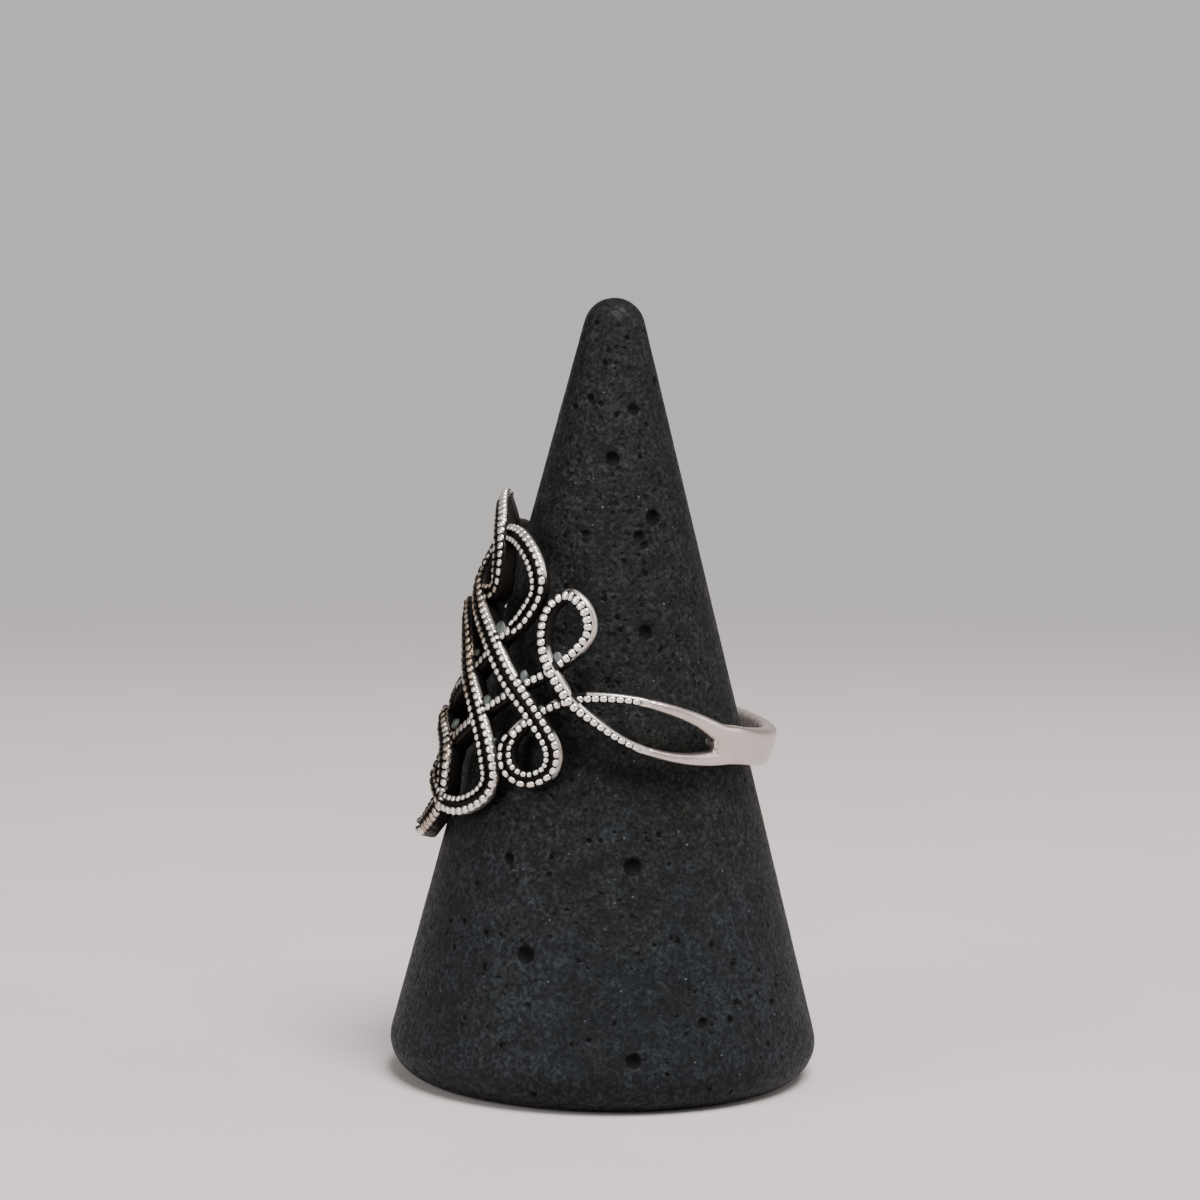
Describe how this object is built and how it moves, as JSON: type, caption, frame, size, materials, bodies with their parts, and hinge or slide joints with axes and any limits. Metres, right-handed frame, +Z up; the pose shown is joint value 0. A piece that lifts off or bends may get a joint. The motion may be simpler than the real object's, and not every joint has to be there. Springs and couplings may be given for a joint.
{
  "type": "openwork ring on cone stand",
  "caption": "Silver openwork finger ring with a knotted panel of beaded wire, resting on a rounded stone display cone.",
  "frame": {"origin": "middle of the cone's flat base, on the surface that it stands on", "axes": "+Z up along the cone; the ring's panel faces -X and the side seen in the picture faces -Y"},
  "size_m": [0.0258, 0.0258, 0.0467],
  "materials": {
    "silver": "oxidised silver, polished on the raised work",
    "stone": "fine-grained dark stone with pores and pits"
  },
  "bodies": {
    "root": {"ring": "silver", "cone_stand": "stone"}
  },
  "joints": []
}
